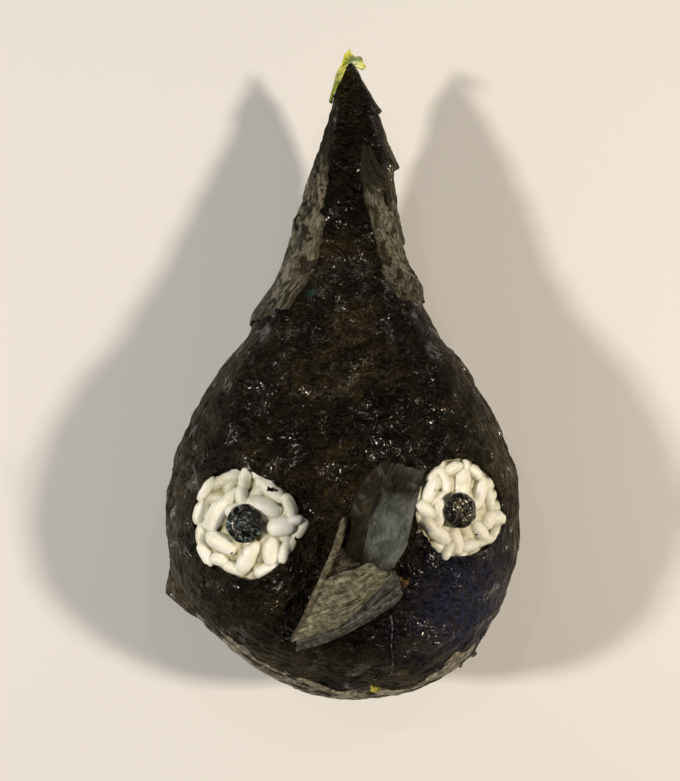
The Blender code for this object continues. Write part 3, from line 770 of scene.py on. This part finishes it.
strip_tones = (0.006, 0.0052, 0.003), (0.065, 0.06, 0.042), (0.25, 0.24, 0.185)
strip_nori = rough_finish("strip_nori", strip_tones, (17, 8), (0.35, 0.6), speckled=0.6, blend=0.9)
hem_tones = (0.005, 0.0042, 0.0025), (0.035, 0.03, 0.02), (0.14, 0.125, 0.085)
hem_nori = rough_finish("hem_nori", hem_tones, (14, 30), (0.4, 0.7))
band_tones = (0.014, 0.012, 0.008), (0.15, 0.138, 0.10), (0.46, 0.44, 0.36)
band_nori = rough_finish("band_nori", band_tones, (14, 30), (0.4, 0.7))
for piece, material in zip(strips + bands, (strip_nori, strip_nori, hem_nori, band_nori)):
    thicken(piece, SHEET_THICKNESS)
    dress(piece, material, "nori", "nori_wrap")

# The pupils: two discs punched from nori, nearly black and wet all over.  They are laid on the rice
# of the eyes, where the damp has crinkled them.
PUPILS = {
    "left": {"at": (-20.5 * MM, -0.8 * MM), "radius": 3.95 * MM, "seed": 2},
    "right": {"at": (24.2 * MM, 1.9 * MM), "radius": 3.6 * MM, "seed": 9},
}
PUPIL_LIFT = 0.75 * MM
PUPIL_THICKNESS = 0.4 * MM
PUPIL_CURVE = 40 * MM  # radius of the crown that a pupil bends over
CORNERS = 7


def pupil(side):
    """A rounded many-sided disc whose creases run out from off its middle."""
    spec = PUPILS[side]
    seed = spec["seed"]
    place = surface_frame(drop, *spec["at"], around=spec["radius"])

    def shape(u, v):
        turn = 2 * math.pi * u
        ring = Vector((math.cos(turn), math.sin(turn), 0))
        corner = 1 + 0.018 * math.cos(CORNERS * turn + seed) + 0.06 * waver(ring.x, ring.y, seed)
        far = spec["radius"] * corner * v
        crease = ridged(ring * 1.5 + Vector((0, 0, seed + 0.9 * v)))
        lumps = ridged(ring * 2.2 * v + Vector((0, 0, seed + 5)))
        relief = (0.55 * crease * v**0.6 + 0.4 * lumps - 0.7 * v**4) * MM
        height = PUPIL_LIFT + relief - far**2 / (2 * PUPIL_CURVE)
        return place @ (ring * far + Vector((0, 0, height)))

    disc = sheet(f"{side}_pupil_nori", 110, 24, shape)
    mend(disc)
    thicken(disc, PUPIL_THICKNESS)
    return disc


def pupil_finish(side, light):
    """A pupil's nori: nearly black, with lighter specks that are painted glints, under one whole film of
    water.
    """
    material, tree, shader = finish(f"{side}_pupil_nori")
    spot = node(tree, "TexCoord").outputs["Object"]
    fine = noise_of(tree, spot, 900, 3.0, 0.6, 0.8)
    black, dark = (0.002, 0.002, 0.0018), (0.008, 0.008, 0.006)
    tone = ramp(tree, fine, (0.4, black), (0.56, dark), (0.66, light))
    tree.links.new(tone, shader.inputs["Base Color"])
    folds = noise_of(tree, spot, 640, 1.5, 0.55, 0.9)
    shine_on(tree, shader, folds, 0.6 * MM, (0.3, 0.4), spot)
    tree.links.remove(shader.inputs["Coat Weight"].links[0])
    shader.inputs["Coat Weight"].default_value = 1.0
    return material


# The light tone is painted glints: cool on the left pupil, warm on the right.
for side, light in (("left", (0.15, 0.235, 0.25)), ("right", (0.11, 0.09, 0.045))):
    pupil_nori = pupil_finish(side, light)
    dress(pupil(side), pupil_nori, "nori", f"{side}_pupil")

# The beak: one piece of nori folded with its rough side out.  A strip folded to a roof stands up and
# leans towards the cone.  A wide flap spreads over the face in front of its foot, over a darker ply,
# and the sheet's left edge is rolled over.
BEAK_THICKNESS = 0.4 * MM
# Each patch by rows of points (mm), from the foot up and from left to right.
PLY = (
    ((-9.9, -27.0, 48.8), (-3.9, -25.5, 49.0), (4.2, -21.4, 49.6), (10.0, -17.6, 50.2), (12.3, -15.0, 50.8)),
    ((-9.7, -24.5, 50.2), (-3.0, -22.1, 51.2), (4.1, -17.0, 53.0), (8.4, -12.8, 54.4), (10.6, -10.8, 54.6)),
    ((-8.6, -22.5, 51.0), (-2.0, -19.6, 52.6), (4.4, -14.4, 54.6), (8.4, -11.0, 55.8), (9.8, -9.6, 56.0)),
)
FLAP = (
    ((-10.9, -25.0, 50.0), (-3.0, -22.3, 51.6), (1.3, -19.4, 52.8), (5.2, -15.4, 54.2), (9.5, -10.9, 55.4)),
    ((-7.4, -18.8, 53.8), (-2.4, -16.6, 55.8), (1.8, -14.8, 57.4), (6.3, -11.6, 58.6), (9.5, -10.2, 58.0)),
    ((-4.4, -11.8, 57.2), (-0.7, -9.9, 59.4), (2.6, -8.9, 60.8), (5.3, -7.7, 61.8), (8.7, -8.9, 61.0)),
)
PANEL = (
    ((-4.8, -12.6, 56.8), (-1.0, -11.0, 58.0), (2.2, -10.4, 58.4), (5.2, -9.4, 59.0)),
    ((-1.4, -4.9, 61.0), (0.1, -5.8, 60.4), (2.0, -5.7, 61.0), (4.2, -5.4, 62.2)),
    ((0.6, 1.5, 65.6), (1.4, 0.3, 64.6), (2.6, -0.3, 64.8), (4.2, -0.6, 66.2)),
)
# The strip's left edge, ridge and right edge, from the foot up.
STRIP_LEFT = (
    (0.2, -10.0, 55.0), (0.2, -6.4, 60.0), (1.0, -1.1, 63.4),
    (1.8, 4.2, 68.0), (3.8, 8.6, 73.2), (6.6, 12.3, 79.5),
)
STRIP_RIDGE = (
    (3.4, -9.4, 57.5), (3.9, -5.4, 64.4), (4.5, -1.1, 69.0),
    (5.4, 2.6, 73.6), (7.3, 6.4, 78.6), (9.4, 12.0, 84.6),
)
STRIP_RIGHT = (
    (8.6, -11.6, 55.5), (9.5, -8.8, 60.8), (12.0, -4.0, 65.6),
    (12.9, 1.7, 70.6), (13.7, 6.6, 76.0), (14.4, 10.6, 82.6),
)
# The middle line of the rolled edge, from the foot up.
ROLL = (
    (-10.9, -24.8, 50.2), (-7.8, -19.0, 54.0), (-4.7, -12.0, 57.6), (-1.7, -5.2, 61.6), (0.3, 1.3, 66.0),
)
ROLL_RADIUS = 0.75 * MM


def roof(left, ridge, right):
    """One row across the strip, closely spaced at the ridge so that it stays sharp."""
    left, ridge, right = Vector(left), Vector(ridge), Vector(right)
    bulged = ridge.lerp(right, 0.6) + Vector((0, -0.3, 0.4))
    return left, left.lerp(ridge, 0.85), ridge, ridge.lerp(right, 0.15), bulged, right


def patch(name, rows, counts, crumpled, seed):
    """A crumpled sheet through rows of points."""
    rows = [[Vector(point) for point in row] for row in rows]

    def shape(u, v):
        point = through([through(row, u) for row in rows], v)
        rough = ridged(Vector((u * 2.5, v * 4, seed))) + 0.4 * ridged(Vector((u * 6, v * 15, seed)))
        frayed = 0.35 * waver(u * 11, v * 7, seed) * (abs(2 * u - 1) ** 6 + abs(2 * v - 1) ** 6)
        return (point + Vector((0.1, -0.6, 0.8)) * crumpled * rough + Vector((1, 0.5, 0)) * frayed) * MM

    return sheet(name, *counts, shape)


def roll_place(u, v):
    """The rolled edge: a thin tube that widens upwards and is pinched shut at both ends."""
    axis = [Vector(point) * MM for point in ROLL]
    middle = through(axis, v)
    ahead = (axis[-1] - axis[0]).normalized()
    side = ahead.cross(Vector((0, 0, 1))).normalized()
    ends = min(1.0, 9 * v + 0.3, 9 * (1 - v) + 0.5)
    radius = ROLL_RADIUS * (0.45 + 0.65 * v) * ends * (1 + 0.3 * waver(v * 9, u > 0.5))
    turn = 2 * math.pi * u
    return middle + (side * math.cos(turn) + side.cross(ahead) * math.sin(turn)) * radius


def strip_finish():
    """The strip: grey right of its ridge and dark brown left of it, painted light and shade; darker at its
    foot, a painted shadow of the flap, and near its end.
    """
    material, tree, shader = finish("beak_strip")
    coordinates = node(tree, "TexCoord").outputs
    spot, sheet_spot = coordinates["Object"], coordinates["UV"]
    place = node(tree, "SeparateXYZ", {0: sheet_spot}).outputs
    run = node(tree, "Mapping", {"Vector": sheet_spot, "Scale": (9, 5, 1)}).outputs["Vector"]
    fibres = noise_of(tree, run, 1.0, 6.0, 0.65, 1.2)
    slate, grey, pale = (0.03, 0.035, 0.03), (0.085, 0.10, 0.09), (0.19, 0.22, 0.205)
    lit = ramp(tree, fibres, (0.3, slate), (0.5, grey), (0.7, pale))
    black, umber, brown = (0.005, 0.0035, 0.0015), (0.018, 0.013, 0.006), (0.06, 0.048, 0.024)
    shaded = ramp(tree, fibres, (0.35, black), (0.55, umber), (0.7, brown))
    # Painted light and shade: the lit grey right of the ridge, the shaded brown left of it.
    left = ramp(tree, place["X"], (0.33, 1.0), (0.44, 0.0))
    # Painted shadow of the flap at the strip's foot; darker near its end too.
    foot_shadow, end = ((0.17, 0.9), (0.27, 0.0)), ((0.74, 0.0), (0.83, 0.97), (0.92, 0.95), (0.98, 0.6))
    dark = maths(tree, "MAXIMUM", left, ramp(tree, place["Y"], *foot_shadow, *end))
    tree.links.new(mixed(tree, dark, lit, shaded), shader.inputs["Base Color"])
    shine_on(tree, shader, fibres, 0.5 * MM, (0.4, 0.65), spot)
    return material


flap_tones = (0.02, 0.02, 0.013), (0.125, 0.125, 0.087), (0.34, 0.34, 0.25)
beak_rough = rough_finish("beak_rough", flap_tones, (3.5, 19))
ply_tones = (0.01, 0.011, 0.01), (0.046, 0.049, 0.044), (0.18, 0.19, 0.175)
beak_cool = rough_finish("beak_cool", ply_tones, (3, 11))
# The left panel is a darker copy of the rough nori: painted shade.
panel_tones = (0.006, 0.0045, 0.003), (0.026, 0.022, 0.016), (0.12, 0.11, 0.085)
beak_shaded = rough_finish("beak_shaded", panel_tones, (3, 11))
roll_tones = (0.02, 0.018, 0.011), (0.10, 0.092, 0.062), (0.26, 0.24, 0.17)
beak_edge = rough_finish("beak_edge", roll_tones, (2, 16))
rows = [roof(*edges) for edges in zip(STRIP_LEFT, STRIP_RIDGE, STRIP_RIGHT)]
for piece, material in (
    (patch("beak_strip", rows, (60, 110), 0.2, 3), strip_finish()),
    (patch("beak_flap", FLAP, (80, 70), 0.28, 5), beak_rough),
    (patch("beak_ply", PLY, (80, 20), 0.25, 9), beak_cool),
    (patch("beak_panel", PANEL, (40, 50), 0.25, 7), beak_shaded),
):
    thicken(piece, BEAK_THICKNESS)
    dress(piece, material, "rough_nori", "beak")
beak_roll = sheet("beak_roll", 20, 90, roll_place)
mend(beak_roll, closed=True)
dress(beak_roll, beak_edge, "rough_nori", "beak")

# Small bits that cling to it: shreds torn from the wrap's edge, a thin raised crease, a thread at the
# cone's edge, flecks of nori on the rice, brown crumbs by the beak and a yellow-green bit of leaf low
# down.  Each lies loose on the sheet or the grain under it.
SHREDS = {  # line of points (mm) and half width (mm)
    "thread": (((13.0, 57.8, 25.6), (14.2, 58.2, 24.8), (15.3, 58.0, 24.2)), 0.12),
    "shred_a": (((27.0, -29.4, 28.2), (28.6, -30.8, 27.6), (29.7, -31.9, 27.0)), 1.5),
    "shred_b": (((24.8, -31.0, 28.4), (26.0, -32.8, 27.6), (26.5, -34.5, 27.0)), 1.0),
    "shred_c": (((20.2, -33.2, 28.8), (21.0, -34.8, 28.0), (21.4, -36.2, 27.4)), 0.9),
}
# Each fleck by its place in the plan, half its length and width (mm) and its turn (degrees).
FLECKS = (
    (-14.7, 6.1, 1.1, 0.5, -12), (-22.6, -6.8, 0.3, 0.2, 30),
    (19.5, 6.0, 0.35, 0.2, 60), (27.2, -3.2, 0.3, 0.2, 10),
)
FLECK_LIFT = 1.15
# The crease and the yellow bit, by their lines in the plan, height over the drop and half width (mm).
CREASE = ((9.6, -19.5), (10.0, -22.5), (9.8, -26.0), (10.2, -29.0), (10.0, -32.4))
CREASE_LIFT = 0.5
CREASE_HALF_WIDTH = 0.15
YELLOW_BIT = ((5.6, -35.1), (6.6, -35.5), (7.8, -35.3))
YELLOW_LIFT = 1.3
YELLOW_HALF_WIDTH = 0.75
# Each crumb by its middle, its radius (mm) and the seed of its hollows.
CRUMBS = (
    ((12.3, -12.9, 51.9), 0.85, 1),
    ((11.2, -11.9, 52.6), 0.7, 4),
    ((13.2, -12.4, 51.4), 0.55, 7),
)
BIT_THICKNESS = 0.16 * MM


def ribbon(name, line, half):
    """A narrow crumpled strip along a line of points (mm)."""
    line = [Vector(point) for point in line]
    ahead = (line[-1] - line[0]).normalized()
    side = ahead.cross(Vector((0, 0, 1))).normalized()

    def shape(u, v):
        taper = 1 - 0.8 * v**1.5 + 0.5 * waver(v * 4, u * 2, half)
        curl = 0.3 * half * waver(u * 3, v * 5)
        point = through(line, v) + side * half * taper * (2 * u - 1) + Vector((0, 0, curl))
        return point * MM

    piece = sheet(name, 6, 30, shape)
    thicken(piece, BIT_THICKNESS)
    return piece


def above(x, y, lift):
    """Point over a spot of the plan (mm), raised off the drop by lift (mm)."""
    _, hit, normal, _ = drop.ray_cast(Vector((x * MM, y * MM, HIGH_ABOVE)), Vector((0, 0, -1)))
    return (hit + normal * lift * MM) / MM


def lump(name, place, radius, seed):
    """A rounded crumb with hollows."""
    bpy.ops.mesh.primitive_ico_sphere_add(subdivisions=4, radius=radius * MM)
    piece = bpy.context.object
    piece.name = name
    for vert in piece.data.vertices:
        spot = vert.co / MM
        vert.co = (Vector(place) + spot * (1 + 0.45 * noise.noise(spot * 1.3 + Vector((seed, 0, 0))))) * MM
    return piece


def crumb_finish(name, low, high):
    """Two tones in fine patches, damp."""
    material, tree, shader = finish(name)
    spot = node(tree, "TexCoord").outputs["Object"]
    patches = noise_of(tree, spot, 900, 4.0, 0.65)
    tree.links.new(ramp(tree, patches, (0.4, low), (0.62, high)), shader.inputs["Base Color"])
    shine_on(tree, shader, patches, 0.2 * MM, (0.35, 0.55), spot)
    return material


shreds = [ribbon(name, *values) for name, values in SHREDS.items()]
for piece in shreds:
    dress(piece, band_nori, "nori", "nori_wrap")
crease = ribbon("crease", [above(*spot, CREASE_LIFT) for spot in CREASE], CREASE_HALF_WIDTH)
# The crease's light bluish specks are painted glints.
dress(crease, crumb_finish("crease_glints", (0.006, 0.006, 0.008), (0.13, 0.14, 0.17)), "nori", "nori_wrap")
for index, (x, y, long, wide, yaw) in enumerate(FLECKS):
    turn = Vector((math.cos(math.radians(yaw)), math.sin(math.radians(yaw)), 0))
    middle = above(x, y, FLECK_LIFT)
    fleck = ribbon(f"fleck_{index}", (middle - turn * long, middle, middle + turn * long), wide)
    dress(fleck, pupil_nori, "nori", "nori_wrap")
crumb_brown = crumb_finish("crumb_brown", (0.02, 0.012, 0.005), (0.13, 0.08, 0.03))
for letter, crumb in zip("abc", CRUMBS):
    dress(lump(f"crumb_{letter}", *crumb), crumb_brown, "nori", "nori_wrap")
yellow_line = [above(*spot, YELLOW_LIFT) for spot in YELLOW_BIT]
yellow_bit = ribbon("yellow_bit", yellow_line, YELLOW_HALF_WIDTH)
dress(yellow_bit, crumb_finish("yellow_bit", (0.10, 0.09, 0.012), (0.55, 0.5, 0.10)), "leaf", "nori_wrap")

# The green scrap: a bit of leaf left on the cone's tip, wet and thin enough to glow.  It clings to the
# nori's tip, with one spike that stands up and a hook that droops to the right.
NORI_TIP = Vector((1.2, 104.6, 24.6))
LEAF_PULL = 0.8
LEAF_PULL_REACH = 4.2
HOOK_DROOP = 1.3 * MM
HOOK_START = 1.2  # across, as the next three are (mm)
HOOK_RUN = 1.6
SPIKE_PLACE = 1.5
SPIKE_HALF_WIDTH = 0.35
SPIKE = 0.8 * MM
SPIKE_FOOT = 105.5 * MM
LOW_START = 101.6  # along Y (mm), under which the leaf grows shady
LOW_RUN = 2
LEAF_TEAL = Vector((2.8, 104.9, 25.5))
LEAF_TEAL_FADE = 2.0
leaf = merged_copy("tip_leaf", "leaf")
modify(leaf, "SUBSURF", levels=2, render_levels=2)
normals = [normal.vector.copy() for normal in leaf.data.vertex_normals]
for vert, normal in zip(leaf.data.vertices, normals):
    vert.co += normal * 0.15 * waver(*(vert.co / (1.2 * MM))) * MM
    to_tip = NORI_TIP * MM - vert.co
    vert.co += to_tip * LEAF_PULL * max(0.0, 1 - to_tip.length / (LEAF_PULL_REACH * MM))
    across = vert.co.x / MM
    vert.co.y -= HOOK_DROOP * clamped((across - HOOK_START) / HOOK_RUN)
    if vert.co.y > SPIKE_FOOT:
        vert.co.y += SPIKE * math.exp(-(((across - SPIKE_PLACE) / SPIKE_HALF_WIDTH) ** 2))
paint(leaf, "teal", near(LEAF_TEAL, LEAF_TEAL_FADE))
paint(leaf, "low", lambda point: clamped((LOW_START - point.y) / LOW_RUN))


def leaf_finish():
    """A wet leaf thin enough for light to pass, bluer where it lies over the nori's tip."""
    material, tree, shader = finish("green_leaf")
    spot = node(tree, "TexCoord").outputs["Object"]
    veins = noise_of(tree, spot, 380, 4.0, 0.6, 1.0)
    deep, green, yellow = (0.12, 0.16, 0.012), (0.64, 0.62, 0.06), (0.92, 0.88, 0.30)
    leafy = ramp(tree, veins, (0.36, deep), (0.48, green), (0.64, yellow))
    dark, mossy = (0.03, 0.06, 0.004), (0.24, 0.32, 0.02)
    shady = ramp(tree, veins, (0.4, dark), (0.6, mossy))
    leafy = mixed(tree, painted(tree, "low"), leafy, shady)
    murky, teal, pale = (0.03, 0.08, 0.04), (0.15, 0.28, 0.14), (0.48, 0.62, 0.40)
    bluish = ramp(tree, veins, (0.36, murky), (0.5, teal), (0.64, pale))
    tone = mixed(tree, painted(tree, "teal"), leafy, bluish)
    tree.links.new(tone, shader.inputs["Base Color"])
    shader.inputs["Roughness"].default_value = 0.25
    shader.inputs["Subsurface Weight"].default_value = 0.6
    shader.inputs["Subsurface Radius"].default_value = (0.8, 1.0, 0.2)
    shader.inputs["Subsurface Scale"].default_value = 0.8 * MM
    return material


dress(leaf, leaf_finish(), "leaf", "tip_leaf")
bpy.data.objects.remove(drop)

# The setting: a plain pale table, a warm soft light from the left and one from the right, and two small
# faint lights above.  The camera looks straight down but for a slight lean, as the photograph does.
FLOOR_SIZE = 1.6
VIEW_MIDDLE = Vector((-0.8, 29.4, 0.0)) * MM
VIEW_HEIGHT = 290 * MM
VIEW_TILT = math.radians(3)
FOCAL_PIXELS = 1152
PHOTO_HEIGHT = 781
SENSOR = 36.0
SIDE_LIGHT_SIZE = 0.12
TOP_LIGHT_SIZE = 0.025
TOP_LIGHTS = ((-0.2, 0.26, 0.72), (0.16, 0.34, 0.7))
AIM = Vector((0, 20 * MM, 20 * MM))
ROOM_STRENGTH = 0.025

bpy.ops.mesh.primitive_plane_add(size=FLOOR_SIZE)
floor = bpy.context.object
floor.name = "floor"
material, _, shader = finish("pale_table")
shader.inputs["Base Color"].default_value = (0.78, 0.81, 0.86, 1)
shader.inputs["Roughness"].default_value = 0.45
floor.data.materials.append(material)


def lamp(name, place, size, power, colour):
    """A square soft light that faces the onigiri."""
    light = bpy.data.lights.new(name, "AREA")
    light.size = size
    light.energy = power
    light.color = colour
    thing = bpy.data.objects.new(name, light)
    bpy.context.scene.collection.objects.link(thing)
    thing.location = place
    thing.rotation_euler = (AIM - Vector(place)).to_track_quat("-Z", "Y").to_euler()


lamp("left_light", (-0.95, 0.0, 0.85), SIDE_LIGHT_SIZE, 11.0, (1.0, 0.89, 0.75))
lamp("right_light", (0.83, 0.03, 0.86), SIDE_LIGHT_SIZE, 10.9, (1.0, 0.83, 0.62))
for index, place in enumerate(TOP_LIGHTS):
    lamp(f"top_light_{index}", place, TOP_LIGHT_SIZE, 0.2, (1.0, 0.95, 0.88))

world = bpy.data.worlds.new("room")
bpy.context.scene.world = world
world.use_nodes = True
backdrop = world.node_tree.nodes["Background"]
backdrop.inputs["Color"].default_value = (0.95, 0.95, 1.0, 1)
backdrop.inputs["Strength"].default_value = ROOM_STRENGTH

lens = bpy.data.cameras.new("camera")
camera = bpy.data.objects.new("camera", lens)
bpy.context.scene.collection.objects.link(camera)
lens.sensor_width = SENSOR
lens.lens = FOCAL_PIXELS * SENSOR / PHOTO_HEIGHT
lens.clip_start = 0.01
back = Vector((0, -math.sin(VIEW_TILT), math.cos(VIEW_TILT)))
camera.location = VIEW_MIDDLE + back * VIEW_HEIGHT
camera.rotation_euler = (VIEW_TILT, 0, 0)
bpy.context.scene.camera = camera
bpy.context.scene.view_settings.view_transform = "Standard"
